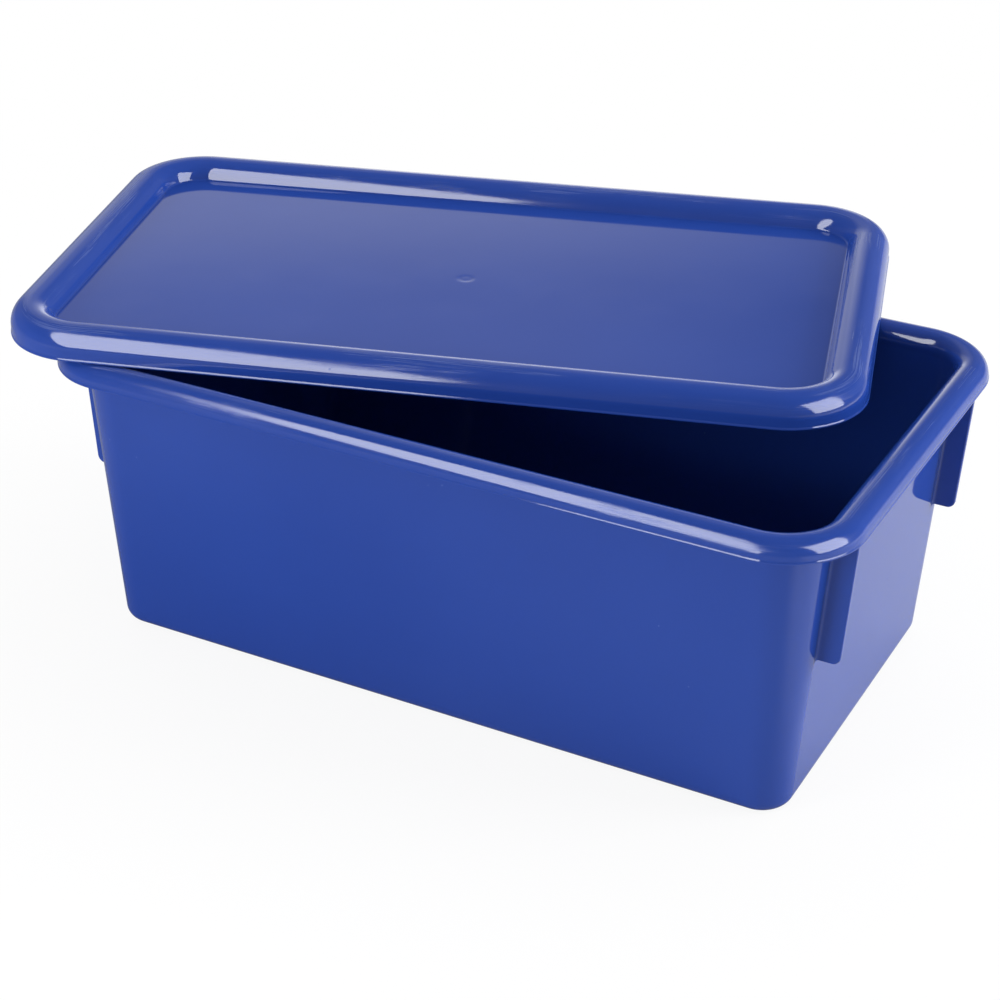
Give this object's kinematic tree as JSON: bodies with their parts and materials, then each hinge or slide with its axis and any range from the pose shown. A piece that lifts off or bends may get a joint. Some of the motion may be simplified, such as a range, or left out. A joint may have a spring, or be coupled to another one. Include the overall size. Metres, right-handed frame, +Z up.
{
  "type": "storage bin",
  "caption": "Rectangular moulded plastic tub with a rounded rim and hanging fins under it at both ends, and a loose lid with a raised round bead and a recessed panel for stacking.",
  "frame": {"origin": "centre of the tub's flat base", "axes": "+X along the tub's length, +Y across its width, +Z up out of the base towards the lid"},
  "size_m": [0.3978, 0.2733, 0.1397],
  "materials": {
    "blue_plastic": "semi-gloss moulded polypropylene, lightly scuffed"
  },
  "bodies": {
    "tub": {"tub": "blue_plastic"},
    "lid": {"lid": "blue_plastic"}
  },
  "joints": [
    {"name": "lid_lift", "type": "slide", "parent": "tub", "child": "lid", "axis": [0, 0, 1], "range_m": [0, 0.15]}
  ]
}
